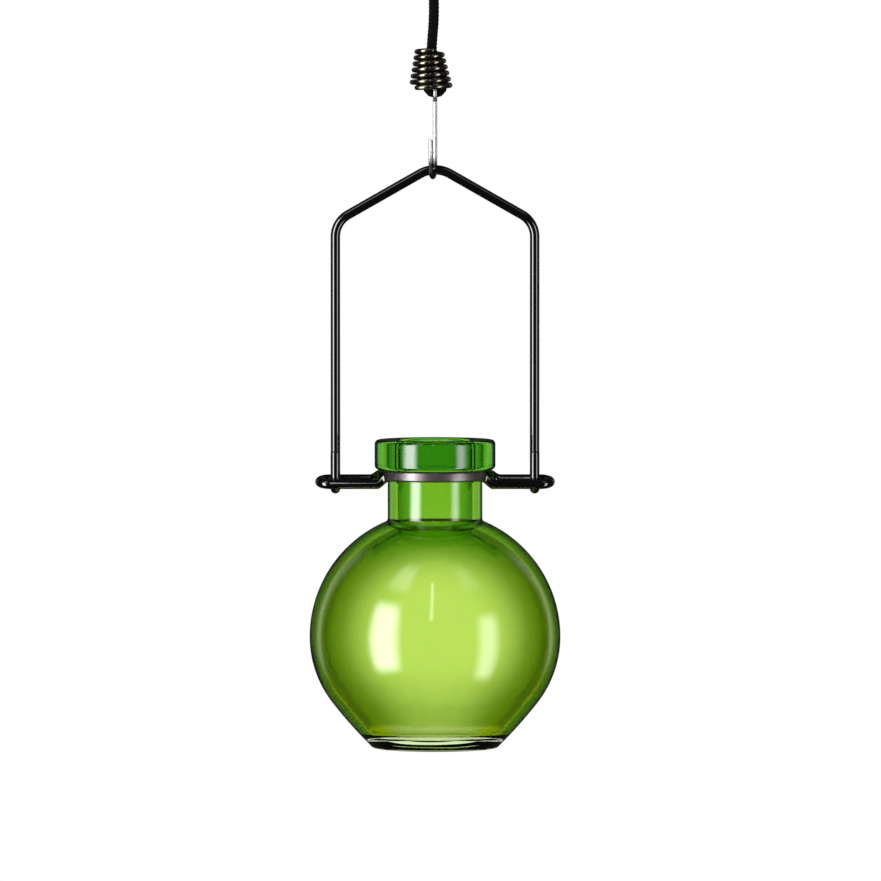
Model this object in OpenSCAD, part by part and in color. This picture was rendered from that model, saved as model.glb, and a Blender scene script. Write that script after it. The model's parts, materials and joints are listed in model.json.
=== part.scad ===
// Glass ball vase that hangs from a cord on a bent wire bail.
// The origin is the hang point, inside the top of the cord's loop. +Z is up, and the front is -Y.

/* [Cord] */
// Diameter of the cord
cord_d = 4.2; // [3.6:0.1:4.4]
// Distance from the hang point down to the middle of the cord's lower bend
cord_drop = 83.5; // [83:0.1:84]
// Bend radius of the cord's cut tail inside the sleeve
tail_bend = 20; // [16:1:30]
// Angle that the tail turns through
tail_angle = 26; // [10:1:28]

/* [Crimp on the hanging loop] */
// Height of the crimp
crimp_h = 10; // [6:0.5:10]
// Distance from the hang point down to the top of the crimp
crimp_drop = 20; // [19.5:0.1:20.5]
// Wall of the crimp
crimp_wall = 0.8; // [0.5:0.1:1.5]

/* [Coiled sleeve] */
// Diameter of the coil's wire
coil_wire = 2.2; // [1.6:0.1:2.4]
// Radius of the coil's wire line at the top
coil_top_r = 5.25; // [5.1:0.05:6]
// Radius of the coil's wire line at the bottom
coil_low_r = 8.65; // [8.4:0.05:10]
// Height that the wire line climbs
coil_h = 16.5; // [15.5:0.1:18]
// Turns in the coil
coil_turns = 6.2; // [4:0.1:6.3]
// Distance from the middle of the cord's lower bend down to the coil's first turn
coil_sag = 0.9; // [0:0.1:1.5]
// Shift of the coil's foot to the left of the hang point
coil_low_shift = 1.8; // [1.5:0.1:2]
// Shift of the coil's top to the left of the hang point
coil_top_shift = 2.6; // [2.4:0.1:2.8]

/* [Wire hook] */
// Diameter of the hook's wire
hook_wire = 1.9; // [1.2:0.1:2]
// Distance from the eye's centre down to the middle of the bail's wire
hook_l = 33.8; // [28:0.1:60]
// Height of the crook's free end above the middle of the bail's wire
hook_tip = 13.3; // [5:0.1:20]
// Angle that the eye turns through
eye_angle = 296; // [240:1:298]
// Angle that the crook is turned to the left
crook_turn = 16; // [0:1:25]

/* [Bail] */
// Diameter of the bail's wire
bail_wire = 4.2; // [3:0.1:5]
// Distance between the legs' centre lines
bail_span = 87.3; // [80:0.1:94]
// Height from the shoulders' corners up to the corner of the gable
bail_rise = 24.9; // [15:0.1:35]
// Distance from the gable's wire down to the feet's centres
bail_drop = 135.5; // [110:0.5:180]
// Bend radius of the gable
gable_bend = 13.3; // [8:0.1:18]
// Bend radius of the shoulders
shoulder_bend = 11; // [6:0.1:15]
// Length of the feet's free ends above their centres
foot_tip = 12.5; // [6:0.1:25]

/* [Neck ring] */
// Diameter of the ring's wire
ring_wire = 4.2; // [3:0.1:4.6]
// Clearance between the glass neck and the ring's wire
neck_gap = 0.45; // [0.2:0.05:1]
// Height of the flattened wire round the neck
band_h = 4.6; // [3:0.1:6]
// Thickness of the flattened wire round the neck
band_t = 2.8; // [2:0.1:4]
// Distance between the two wires of an ear
ear_gap = 9; // [9:0.1:10]
// Distance from the axis to the ear's outer end
ear_reach = 52.5; // [52.4:0.1:58]
// Distance from the ring's level down to the ears
ear_drop = 1.8; // [0:0.1:2.5]
// Distance that an ear's front wire lies below its back wire
ear_tilt = 1.9; // [0:0.1:2.5]
// Bend radius where the ring turns into its ears
throat_bend = 6; // [4:0.5:8]

/* [Glass] */
// Outer diameter of the ball
ball_d = 110; // [100:1:124]
// Height of the ball's widest line above the base
ball_z = 49; // [45:0.5:53]
// Distance that the lower ball's curve is drawn in
belly_inset = 8; // [4:0.5:12]
// Angle below the widest line where the belly meets the flank
belly_angle = 38; // [30:1:45]
// Curve radius of the flank
flank_r = 200; // [150:5:300]
// Rounding of the base's outer corner
foot_round = 3; // [1:0.5:4]
// Outer diameter of the neck
neck_d = 41.5; // [38:0.5:44]
// Height of the neck from the top of the ball's curve to the rim's underside
neck_l = 18.3; // [12:0.1:30]
// Diameter of the mouth's bore
mouth_d = 33; // [26:0.5:35]
// Outer diameter of the rim
rim_d = 53; // [50:0.5:64]
// Height of the rim
rim_h = 13.2; // [8:0.1:18]
// Rounding of the rim's edges
rim_round = 2; // [1:0.1:3]
// Wall of the ball
wall = 4.5; // [3:0.1:6]
// Thickness of the floor where the base is flat
floor_t = 7; // [5:0.5:10]
// Rounding between the wall and the floor inside
floor_round = 7; // [3:0.5:10]
// Radius of the hollow under the base
punt_r = 17.5; // [10:0.5:22]
// Depth of the hollow under the base
punt_h = 2.5; // [1:0.1:3]
// Rounding where the ball meets the neck outside
shoulder_round = 1.5; // [1:0.5:4]
// Rounding where the ball meets the neck inside
throat_round = 4; // [2:0.5:6]

/* [Fits] */
// Running clearance of a wire in a wire hook or eye
pin_gap = 0.08; // [0.05:0.01:0.1]
// Clearance between the rim's underside and the ring
seat_gap = 0.05; // [0.02:0.01:0.2]
// Clearance between the cord's two strands in the crimp
strand_gap = 0.1; // [0.05:0.01:0.2]

/* [Hidden] */
$fn = 72;

// Hanging chain, from the cord down to the glass
bight_r = cord_d / 2 + pin_gap + hook_wire / 2;
eye_z = -cord_drop - bight_r;
// The crook's free end stands to one side, where the gable's wire has curved away from the apex
crook_snug = bail_wire / 2 + pin_gap + hook_wire / 2;
crook_side = 2 * crook_snug * sin(crook_turn);
crook_away = crook_side * crook_side / (2 * gable_bend - bail_wire - hook_wire);
crook_r = ceil(100 * (crook_snug + crook_away) / cos(crook_turn)) / 100;
// The bail's wire hangs this far below the crook's centre, near the crook's bottom
crook_room = floor(100 * (crook_r - crook_snug - crook_away / 2)) / 100;
apex = [0, bight_r - crook_r * cos(crook_turn), eye_z - hook_l];
crook_z = apex.z + crook_room;
foot_r = ring_wire / 2 + pin_gap + bail_wire / 2;
bail_lean = atan(foot_r / bail_drop);
gable_slope = atan(2 * bail_rise / bail_span);
ear_z = apex.z - norm([bail_drop, foot_r]);
front_z = ear_z - ear_tilt;
ring_z = ear_z + ear_drop;
seat_z = ring_z + band_h / 2 + seat_gap;

// Cord
strand_x = (cord_d + strand_gap) / 2;
cord_sides = 8;
cord_steps = 2;
// Route of the cord as [x, z], from its lower bend up, round the hanging loop and back into the crimp
cord_route = [
    [bight_r, -cord_drop], [3, -80.8], [2.1, -78], [0.7, -75.4], [-0.4, -72.8], [-1.1, -70],
    [-1.4, -67], [-1.1, -62], [-0.7, -57], [-0.5, -52], [-0.5, -47], [-0.7, -42], [-1.3, -37],
    [-1.9, -33], [-2.15, -29], [-2.15, -24], [-2.15, -20], [-2.5, -17.4], [-3.6, -15.1],
    [-5.4, -13.2], [-7.3, -11.1], [-8.5, -8], [-8.4, -4.7], [-7.1, -1.7], [-4.8, 0.6], [-1.8, 1.9],
    [1.8, 1.9], [4.8, 0.6], [7.1, -1.7], [8.4, -4.7], [8.5, -8], [7.3, -11.1], [5.4, -13.2],
    [3.6, -15.1], [2.5, -17.4], [2.15, -20], [2.15, -24], [2.15, -28.5]
];

// Coil
coil_sides = 10;
coil_step = 10;
coil_start = -140;

// Neck ring
neck_r = neck_d / 2;
ring_r = neck_r + neck_gap + ring_wire / 2;
band_sides = 16;
band_power = 4;
ear_run = 9;
ear_bend = norm([ear_gap, ear_tilt]) / 2;
ear_end = ear_reach - ear_bend - ring_wire / 2;
// The band's round ends are this much smaller all round than the wires that they meet
end_inset = 0.01;
end_d = ring_wire - 2 * end_inset;

// Glass
ball_r = ball_d / 2;
rim_r = rim_d / 2;
mouth_r = mouth_d / 2;
seat_h = ball_z + ball_r + neck_l;
glass_h = seat_h + rim_h;
belly_r = ball_r - belly_inset;
ball_centre = [0, ball_z];
belly_centre = [belly_inset, ball_z];
flank_centre = belly_centre - (flank_r - belly_r) * [cos(belly_angle), -sin(belly_angle)];
arc_turn = 15;
arc_chord = 3;
same = 0.001;

// A joint's ball is this much larger than the wire, so that it crosses the wire's faces
crossing = 0.02;
joint_gap = 0.01;

function smooth(t) = let (c = min(1, max(0, t))) c * c * (3 - 2 * c);
function unit(v) = v / norm(v);
function power(c, n) = sign(c) * pow(abs(c), 2 / n);

// Point on a smooth curve through four neighbours, between the second and the third
function between(a, b, c, d, t) =
    (2 * b + (c - a) * t + (2 * a - 5 * b + 4 * c - d) * t * t + (3 * b - a - 3 * c + d) * t * t * t) / 2;
function spline(route, steps) =
    let (last = len(route) - 1)
    [
        for (i = [0:last - 1], s = [0:steps - 1])
            between(route[max(i - 1, 0)], route[i], route[i + 1], route[min(i + 2, last)], s / steps),
        route[last]
    ];

// Closed solid through rings of points, each ring turning the same way
module loft(rings) {
    count = len(rings[0]);
    last = len(rings) - 1;
    corner = function (i, k) i * count + k % count;
    polyhedron(
        points = [for (ring = rings) each ring],
        faces = [
            [for (k = [0:count - 1]) corner(0, k)],
            for (i = [0:last - 1], k = [0:count - 1])
                each [
                    [corner(i, k), corner(i + 1, k), corner(i + 1, k + 1)],
                    [corner(i, k), corner(i + 1, k + 1), corner(i, k + 1)]
                ],
            [for (k = [count - 1:-1:0]) corner(last, k)]
        ]
    );
}

// Straight wire between two points
module rod(from, to, d) {
    way = to - from;
    translate(from) rotate([0, acos(way.z / norm(way)), atan2(way.y, way.x)])
        cylinder(h = norm(way), d = d);
}

// Straight wire that stops a hair short of both points, where balls join it to the bends
module joined_rod(from, to, d) {
    way = unit(to - from) * joint_gap;
    rod(from + way, to - way, d);
    for (end = [from, to]) translate(end) sphere(d = d + 2 * crossing);
}

// Bent wire in the XY plane, from one angle to another
module bend(r, d, from, to) {
    rotate([0, 0, from]) rotate_extrude(angle = to - from) translate([r, 0]) circle(d = d);
}

// The same bend in the XZ plane
module bend_xz(centre, r, d, from, to) {
    translate(centre) rotate([90, 0, 0]) bend(r, d, from, to);
}

// The same bend in the YZ plane
module bend_yz(centre, r, d, from, to) {
    translate(centre) rotate([90, 0, 90]) bend(r, d, from, to);
}

// Long part of the cord, with its hanging loop
module cord() {
    line = spline(cord_route, cord_steps);
    last = len(line) - 1;
    color("#1b1a1c")
        loft([
            for (i = [0:last])
                let (
                    way = unit(line[min(i + 1, last)] - line[max(i - 1, 0)]),
                    side = i == 0 ? [1, 0, 0] : [way.y, 0, -way.x]
                )
                [
                    for (k = [0:cord_sides - 1])
                        let (a = 360 * k / cord_sides)
                        [line[i].x, 0, line[i].y] + cord_d / 2 * (side * cos(a) + [0, sin(a), 0])
                ]
        ]);
}

// Lower bend of the cord, and the cut tail that the sleeve holds beside the long part
module cord_bight() {
    color("#1b1a1c") {
        bend_xz([0, 0, -cord_drop], bight_r, cord_d, 180, 360);
        bend_xz([-bight_r - tail_bend, 0, -cord_drop], tail_bend, cord_d, 0, tail_angle);
    }
}

// Oval metal crimp that closes the hanging loop
module loop_crimp() {
    color("#3a3734")
        translate([0, 0, -crimp_drop - crimp_h])
            linear_extrude(crimp_h)
                difference() {
                    oval(cord_d / 2 + crimp_wall + strand_gap);
                    oval(cord_d / 2 + strand_gap);
                }
}

// Outline round both strands
module oval(r) {
    for (side = [-1, 1]) translate([side * strand_x, 0]) circle(r = r);
    square([2 * strand_x, 2 * r], center = true);
}

// Conical coil of stiff wire, wound round the doubled end of the cord
module cord_sleeve() {
    steps = round(coil_turns * 360 / coil_step);
    low_z = -cord_drop - coil_sag;
    color("#4b423a")
        loft([
            for (i = [0:steps])
                let (
                    t = i / steps,
                    a = coil_start + t * coil_turns * 360,
                    r = coil_low_r + (coil_top_r - coil_low_r) * t,
                    middle = -coil_low_shift - (coil_top_shift - coil_low_shift) * t,
                    out = [cos(a), sin(a), 0]
                )
                [
                    for (k = [0:coil_sides - 1])
                        let (b = 360 * k / coil_sides)
                        [middle, 0, low_z + coil_h * t] + out * (r + coil_wire / 2 * cos(b))
                            + [0, 0, coil_wire / 2 * sin(b)]
                ]
        ]);
}

// Steel wire hook: an eye round the cord's lower bend, a shank, and a crook under the bail
module wire_hook() {
    color("#c9c9c6") {
        bend_yz([0, 0, eye_z], bight_r, hook_wire, 0, eye_angle);
        rod([0, bight_r, crook_z], [0, bight_r, eye_z], hook_wire);
        translate([0, bight_r, crook_z]) rotate([0, 0, -crook_turn]) {
            bend_yz([0, -crook_r, 0], crook_r, hook_wire, 180, 360);
            rod([0, -2 * crook_r, 0], [0, -2 * crook_r, hook_tip - crook_room], hook_wire);
        }
    }
}

// One side of the bail, from the end of the gable's bend to the free end of the foot
module bail_side() {
    half = bail_span / 2;
    cut = shoulder_bend * tan((90 - gable_slope) / 2);
    corner_z = gable_bend / cos(gable_slope) - gable_bend - bail_rise;
    top = [half - shoulder_bend, 0, corner_z - cut];
    arm = [sin(gable_slope), 0, cos(gable_slope)];
    joined_rod([0, 0, -gable_bend] + gable_bend * arm, top + shoulder_bend * arm, bail_wire);
    bend_xz(top, shoulder_bend, bail_wire, 0, 90 - gable_slope);
    joined_rod([half, 0, top.z], [half, 0, -bail_drop], bail_wire);
    bend_yz([half, -foot_r, -bail_drop], foot_r, bail_wire, 180, 360);
    rod([half, -2 * foot_r, -bail_drop], [half, -2 * foot_r, foot_tip - bail_drop], bail_wire);
}

// Bail of bent wire, whose feet hook up under the ears from behind
module bail() {
    color("#18171a")
        translate(apex) rotate([bail_lean, 0, 0]) {
            bend_xz([0, 0, -gable_bend], gable_bend, bail_wire, 90 - gable_slope, 90 + gable_slope);
            bail_side();
            mirror([1, 0, 0]) bail_side();
        }
}

// Plan of half the ring, as [x, y, outward x, outward y]: one throat's bend, the arc, the other throat's bend
function half_ring(line) =
    let (
        reach = ring_r + throat_bend,
        a = -asin((line + throat_bend) / reach),
        turn = [for (s = [0:8]) 90 + (90 + a) * s / 8],
        bent = [for (t = turn) [
            reach * cos(a) + throat_bend * cos(t), reach * sin(a) + throat_bend * sin(t), -cos(t), -sin(t)
        ]],
        arc = [for (s = [1:25]) let (t = a - (180 + 2 * a) * s / 26) [ring_r * cos(t), ring_r * sin(t), cos(t), sin(t)]]
    )
    concat(bent, arc, [for (i = [8:-1:0]) [-bent[i][0], bent[i][1], -bent[i][2], bent[i][3]]]);

function ear_start(line) =
    let (reach = ring_r + throat_bend) sqrt(reach * reach - (line + throat_bend) * (line + throat_bend));

// Ring of points round a wire's centre
function section(centre, out, up, thick, high, n) = [
    for (k = [0:band_sides - 1])
        let (b = 360 * k / band_sides)
        centre + out * (thick / 2 * power(cos(b), n)) + up * (high / 2 * power(sin(b), n))
];

// Sections of half the ring, round at its ends and hammered flat round the neck
function half_sections(line, level) =
    let (start = ear_start(line))
    [
        for (p = half_ring(line))
            let (
                w = smooth((start - abs(p[0])) / ear_run),
                thick = end_d + (band_t - end_d) * w,
                high = end_d + (band_h - end_d) * w,
                z = level + (ring_z - level) * w
            )
            section([p[0], p[1], z], [p[2], p[3], 0], [0, 0, 1], thick, high, 2 + (band_power - 2) * w)
    ];

// Sections of an ear's end bend, from the back wire round to the front wire
function ear_sections(side) =
    let (
        front = unit([0, -ear_gap, -ear_tilt]),
        up = [0, front.z, -front.y],
        middle = [side * ear_end, -ear_gap / 2, (front_z + ear_z) / 2]
    )
    [
        for (b = [-90:15:90])
            let (out = [side * cos(b), 0, 0] + front * sin(b))
            section(middle + ear_bend * out, out, up, end_d, end_d, 2)
    ];

// Ring under the rim: one wire that makes the front half and both ears' end bends, one that makes the
// back half, and the ears' straight back wires, which hang in the bail's feet
module neck_ring() {
    color("#18171a")
        translate([0, apex.y, 0]) {
            loft(concat(ear_sections(1), half_sections(ear_gap, front_z), reversed(ear_sections(-1))));
            mirror([0, 1, 0]) loft(half_sections(0, ear_z));
            for (side = [-1, 1])
                rod([side * ear_start(0), 0, ear_z], [side * ear_end, 0, ear_z], ring_wire);
        }
}

// Points along an arc, from one angle to another
function arc(centre, r, from, to) =
    let (steps = ceil(max(abs(to - from) / arc_turn, abs(to - from) * r * PI / 180 / arc_chord)))
    [for (s = [0:steps]) let (a = from + (to - from) * s / steps) centre + r * [cos(a), sin(a)]];

// Centre of the rounding between the flank and a flat face at a height
function floor_corner(in, bottom, r) =
    [flank_centre.x + sqrt(pow(flank_r - in - r, 2) - pow(bottom + r - flank_centre.y, 2)), bottom + r];

// Centre of the rounding between the ball and a straight neck
function neck_corner(ball, neck, r) = [neck + r, ball_z + sqrt(pow(ball + r, 2) - pow(neck + r, 2))];

// Angle of one point seen from another
function seen(from, to) = atan2(to.y - from.y, to.x - from.x);

// Outline of one face of the ball, from its flat bottom up to its neck
function ball_face(in, bottom, bottom_round, neck, neck_round) =
    let (
        low = floor_corner(in, bottom, bottom_round),
        low_angle = seen(flank_centre, low),
        high = neck_corner(ball_r - in, neck, neck_round),
        high_angle = seen(ball_centre, high)
    )
    concat(
        arc(low, bottom_round, -90, low_angle),
        arc(flank_centre, flank_r - in, low_angle, -belly_angle),
        arc(belly_centre, belly_r - in, -belly_angle, 0),
        arc(ball_centre, ball_r - in, 0, high_angle),
        arc(high, neck_round, high_angle + 180, 180)
    );

function reversed(list) = [for (i = [len(list) - 1:-1:0]) list[i]];

// Hollow glass ball with a straight neck, a thick rim and a shallow hollow under the base
module glass_vase() {
    punt_curve = (punt_r * punt_r + punt_h * punt_h) / (2 * punt_h);
    rim_x = rim_r - rim_round;
    punt = arc([0, punt_h - punt_curve], punt_curve, 90, acos(punt_r / punt_curve));
    outside = ball_face(0, 0, foot_round, neck_r, shoulder_round);
    rim = concat(
        [[neck_r, seat_h]],
        arc([rim_x, seat_h + rim_round], rim_round, -90, 0),
        arc([rim_x, glass_h - rim_round], rim_round, 0, 90),
        arc([mouth_r + rim_round, glass_h - rim_round], rim_round, 90, 180)
    );
    inside = ball_face(wall, floor_t, floor_round, mouth_r, throat_round);
    outline = concat(punt, outside, rim, reversed(inside), [[0, floor_t]]);
    apart = [for (i = [0:len(outline) - 1]) if (i == 0 || norm(outline[i] - outline[i - 1]) > same) outline[i]];
    color("#8fc93a", 0.6)
        translate([0, apex.y, seat_z - seat_h]) rotate_extrude() polygon(apart);
}

cord();
cord_bight();
loop_crimp();
cord_sleeve();
wire_hook();
bail();
neck_ring();
glass_vase();
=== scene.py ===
"""Glass ball vase that hangs from a cord on a bent wire bail: its looks, built on the frame.

Lengths are metres. +Z is up, the front is -Y and the origin is the hang point.
"""

import json
import math
import bmesh
import bpy
from bpy.props import FloatProperty, FloatVectorProperty, IntProperty, PointerProperty
from bpy.types import Operator, Panel, PropertyGroup
from mathutils import Matrix, Vector


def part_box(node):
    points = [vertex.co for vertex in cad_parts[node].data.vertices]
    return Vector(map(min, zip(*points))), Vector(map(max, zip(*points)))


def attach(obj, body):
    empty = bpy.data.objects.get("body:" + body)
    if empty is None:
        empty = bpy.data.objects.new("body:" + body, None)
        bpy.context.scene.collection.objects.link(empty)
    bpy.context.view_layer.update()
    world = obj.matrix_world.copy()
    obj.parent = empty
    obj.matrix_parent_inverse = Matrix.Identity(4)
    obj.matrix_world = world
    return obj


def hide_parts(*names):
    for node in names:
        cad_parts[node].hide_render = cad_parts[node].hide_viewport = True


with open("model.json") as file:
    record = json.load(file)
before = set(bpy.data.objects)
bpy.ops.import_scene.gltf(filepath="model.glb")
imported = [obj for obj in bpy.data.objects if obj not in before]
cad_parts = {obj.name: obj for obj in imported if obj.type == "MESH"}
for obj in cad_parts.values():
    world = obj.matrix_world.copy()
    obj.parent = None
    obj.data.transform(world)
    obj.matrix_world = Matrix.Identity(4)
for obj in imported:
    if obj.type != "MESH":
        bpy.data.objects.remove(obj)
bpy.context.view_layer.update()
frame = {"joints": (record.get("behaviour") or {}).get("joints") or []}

bl_info = {
    "name": "Hanging glass ball vase",
    "version": (1, 0, 0),
    "blender": (4, 5, 0),
    "location": "View3D > Sidebar > Ball vase",
    "description": "Builds a glass ball vase on a bent wire bail, with its hook, sleeve and cord",
    "category": "Add Mesh",
}

PIVOT = {joint["name"]: Vector(joint["pos_m"]) for joint in frame["joints"]}
BIGHT = PIVOT["hook_sway"]
APEX = PIVOT["bail_swing"]
EAR = PIVOT["vase_tilt"]
X, Y, Z = Vector((1, 0, 0)), Vector((0, 1, 0)), Vector((0, 0, 1))


def of_kind(make, **limits):
    """A function that makes one kind of property from a name, a description and a default."""
    def made(name, description, default):
        return make(name=name, description=description, default=default, **limits)

    return made


length = of_kind(FloatProperty, unit="LENGTH", precision=5)
share = of_kind(FloatProperty, min=0, max=1, subtype="FACTOR")
number = of_kind(FloatProperty)
count = of_kind(IntProperty, min=1)
colour = of_kind(FloatVectorProperty, size=3, min=0, max=1, subtype="COLOR")


def degrees(name, description, default):
    """An angle, its default given in degrees."""
    return of_kind(FloatProperty, subtype="ANGLE")(name, description, math.radians(default))


class CordSettings(PropertyGroup):
    """Sizes and colour of the cord and of the crimp on its loop."""

    diameter: length("Diameter", "Diameter of the cord", 0.0042)
    strands: count("Strands", "Strands that wind each way round the cord", 8)
    lay: length("Lay", "Length along the cord that a strand needs for its own width", 0.00175)
    relief: length("Relief", "Height of the braid's strands", 0.00038)
    step: length("Step", "Distance between the cord's rings of faces", 0.00022)
    sides: count("Sides", "Faces round the cord", 72)
    tail_bend: length("Tail bend", "Bend radius of the cut tail in the sleeve", 0.02)
    tail_angle: degrees("Tail angle", "Angle that the cut tail turns through", 26)
    tint: colour("Yarn", "Colour of the yarn", (0.001, 0.001, 0.0012))
    faded_tint: colour("Faded yarn", "Colour that the yarn drifts to", (0.003, 0.003, 0.0033))
    cut_edge: length("Cut edge", "Rounding at the cord's cut ends", 0.0006)
    strand_gap: length("Strand gap", "Clearance between the two strands in the crimp", 0.0001)
    crimp_wall: length("Crimp wall", "Wall of the crimp", 0.0008)
    crimp_press: length("Crimp press", "Depth of the crimp's two pressed bands", 0.0003)


class SleeveSettings(PropertyGroup):
    """Sizes and colour of the coiled sleeve."""

    wire: length("Wire", "Diameter of the coil's wire", 0.0022)
    low_radius: length("Low radius", "Radius of the wire line at the bottom", 0.00865)
    top_radius: length("Top radius", "Radius of the wire line at the top", 0.00525)
    height: length("Height", "Height that the wire line climbs", 0.0165)
    turns: number("Turns", "Turns in the coil", 6.2)
    sag: length("Sag", "Distance from the cord's lower bend down to the first turn", 0.0009)
    low_shift: length("Low shift", "Shift of the coil's foot to the left", 0.0018)
    top_shift: length("Top shift", "Shift of the coil's top to the left", 0.0026)
    start: degrees("Start", "Angle where the lowest turn begins", -140)
    steps: count("Steps", "Steps in each turn of the coil", 96)
    sides: count("Sides", "Faces round the coil's wire", 20)
    tint: colour("Metal", "Colour of the plated wire", (0.11, 0.098, 0.068))
    rubbed_tint: colour("Rubbed metal", "Colour of the plating where it is rubbed", (0.17, 0.152, 0.112))


class HookSettings(PropertyGroup):
    """Sizes and colour of the steel hook."""

    wire: length("Wire", "Diameter of the hook's wire", 0.0019)
    crook_radius: length("Crook radius", "Bend radius of the crook under the bail", 0.00341)
    crook_turn: degrees("Crook turn", "Angle that the crook is turned to the left", 16)
    crook_room: length("Crook room", "Height of the crook's centre above the bail's wire", 0.0002)
    tip: length("Tip", "Height of the crook's free end above the bail's wire", 0.0133)
    eye_angle: degrees("Eye angle", "Angle that the eye turns through", 296)
    cut_edge: length("Cut edge", "Rounding at the wire's ends", 0.0003)
    sides: count("Sides", "Faces round the hook's wire", 32)
    tint: colour("Steel", "Colour of the steel", (0.36, 0.36, 0.35))
    light_tint: colour("Light steel", "Colour that the steel drifts to", (0.48, 0.48, 0.47))
    # Painted reflection: the crook is painted dark, for the black bail that it reflects
    crook_reflection_tint: colour("Stain", "Colour of the steel where it rubs on the enamel", (0.02, 0.019, 0.016))


class BailSettings(PropertyGroup):
    """Sizes and colour of the bail and the neck ring."""

    wire: length("Wire", "Diameter of the bail's wire", 0.0042)
    rise: length("Rise", "Height from the shoulders' corners to the gable's corner", 0.0249)
    drop: length("Drop", "Distance from the gable's wire down to the feet's centres", 0.1355)
    gable_bend: length("Gable bend", "Bend radius of the gable", 0.0133)
    shoulder_bend: length("Shoulder bend", "Bend radius of the shoulders", 0.011)
    foot_bend: length("Foot bend", "Bend radius of the feet", 0.00428)
    foot_tip: length("Foot tip", "Length of the feet's free ends above their centres", 0.0125)
    cut_edge: length("Cut edge", "Rounding at the wire's ends", 0.0006)
    sides: count("Sides", "Faces round the bail's wire", 40)
    tint: colour("Enamel", "Colour of the black enamel", (0.001, 0.0009, 0.001))
    worn_tint: colour("Worn enamel", "Colour that the enamel drifts to", (0.003, 0.0028, 0.003))
    rubbed_tint: colour("Rubbed", "Colour of the enamel on the hammered band", (0.16, 0.134, 0.14))


class RingSettings(PropertyGroup):
    """Sizes of the neck ring."""

    wire: length("Wire", "Diameter of the ring's wire", 0.0042)
    radius: length("Radius", "Radius of the ring's wire line", 0.0233)
    band_height: length("Band height", "Height of the flattened wire round the neck", 0.0046)
    band_thickness: length("Band thickness", "Thickness of the flattened wire", 0.0028)
    ear_gap: length("Ear gap", "Distance between the two wires of an ear", 0.009)
    ear_reach: length("Ear reach", "Distance from the axis to the ear's outer end", 0.0525)
    ear_tilt: length("Ear tilt", "Distance that an ear's front wire lies below its back wire", 0.0019)
    rise: length("Rise", "Height of the ring above the ears' back wires", 0.0018)
    throat_bend: length("Throat bend", "Bend radius where the ring turns into its ears", 0.006)
    run: length("Run", "Length over which the wire turns from round to flat", 0.005)
    sides: count("Sides", "Faces round the ring's wire", 32)


class GlassSettings(PropertyGroup):
    """Sizes and colours of the glass."""

    ball_radius: length("Ball radius", "Radius of the ball", 0.055)
    ball_height: length("Ball height", "Height of the widest line above the base", 0.049)
    belly_inset: length("Belly inset", "Distance that the lower curve is drawn in", 0.008)
    belly_angle: degrees("Belly angle", "Angle below the widest line where the flank starts", 38)
    flank_radius: length("Flank radius", "Curve radius of the flank", 0.2)
    foot_round: length("Foot rounding", "Rounding of the base's outer corner", 0.003)
    neck_radius: length("Neck radius", "Outer radius of the neck", 0.02075)
    seat_height: length("Seat height", "Height of the rim's underside above the base", 0.1223)
    mouth_radius: length("Mouth radius", "Radius of the mouth", 0.0165)
    rim_radius: length("Rim radius", "Outer radius of the rim", 0.0265)
    rim_height: length("Rim height", "Height of the rim", 0.0132)
    rim_round: length("Rim rounding", "Rounding of the rim's edges", 0.002)
    wall: length("Wall", "Wall of the ball", 0.0045)
    floor: length("Floor", "Thickness of the floor", 0.007)
    floor_round: length("Floor rounding", "Rounding between wall and floor inside", 0.007)
    punt_radius: length("Punt radius", "Radius of the hollow under the base", 0.0175)
    punt_height: length("Punt height", "Depth of the hollow under the base", 0.0025)
    shoulder_round: length("Shoulder rounding", "Rounding from ball to neck outside", 0.0015)
    throat_round: length("Throat rounding", "Rounding from ball to neck inside", 0.004)
    sides: count("Sides", "Faces round the glass", 256)
    ball_tint: colour("Ball", "Colour of the ball's glass", (0.78, 0.9, 0.38))
    drift_tint: colour("Drift", "Colour that the ball's glass drifts to", (0.7, 0.88, 0.28))
    neck_tint: colour("Neck", "Colour of the neck's glass", (0.42, 0.69, 0.12))
    rim_tint: colour("Rim", "Colour of the rim's glass", (0.16, 0.48, 0.05))
    # Painted light: the thick base is painted pale, for the light that shines through it
    foot_light_tint: colour("Foot", "Colour of the thick base", (0.96, 0.99, 0.78))
    depth_tint: colour("Depth", "Colour that thick glass takes", (0.5, 0.9, 0.3))
    density: number("Density", "How quickly thick glass takes its colour, per metre", 8)


class StageSettings(PropertyGroup):
    """Camera, floor and lights."""

    distance: length("Distance", "Distance from the camera to the object", 6)
    elevation: degrees("Elevation", "Height of the camera's view above level", 2.5)
    view_width: length("View width", "Width that the camera takes in at the object", 0.3862)
    aim_x: length("Aim across", "Point across that the camera aims at", 0.0024)
    aim_z: length("Aim up", "Level that the camera aims at", -0.2391)
    floor_level: length("Floor level", "Level of the floor", -2.5)
    floor_half: length("Floor half", "Half the width of the floor", 12)
    floor_tint: colour("Floor", "Colour of the floor", (0.93, 0.93, 0.93))
    floor_drift: colour("Floor drift", "Colour that the floor drifts to", (0.95, 0.95, 0.95))
    lamp_power: number("Lamp power", "Power of each soft lamp, in watts", 6)
    surround: share("Surround", "Brightness of the room that shows in gloss", 0.03)


class VaseSettings(PropertyGroup):
    """All sizes and colours of the vase."""

    cord: PointerProperty(type=CordSettings)
    sleeve: PointerProperty(type=SleeveSettings)
    hook: PointerProperty(type=HookSettings)
    bail: PointerProperty(type=BailSettings)
    ring: PointerProperty(type=RingSettings)
    glass: PointerProperty(type=GlassSettings)
    stage: PointerProperty(type=StageSettings)


def arithmetic(operation, turned=False):
    """An arithmetic operator that adds a Math node."""
    def made(value, other):
        return value.graph.math(operation, *((other, value) if turned else (value, other)))

    return made


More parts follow.
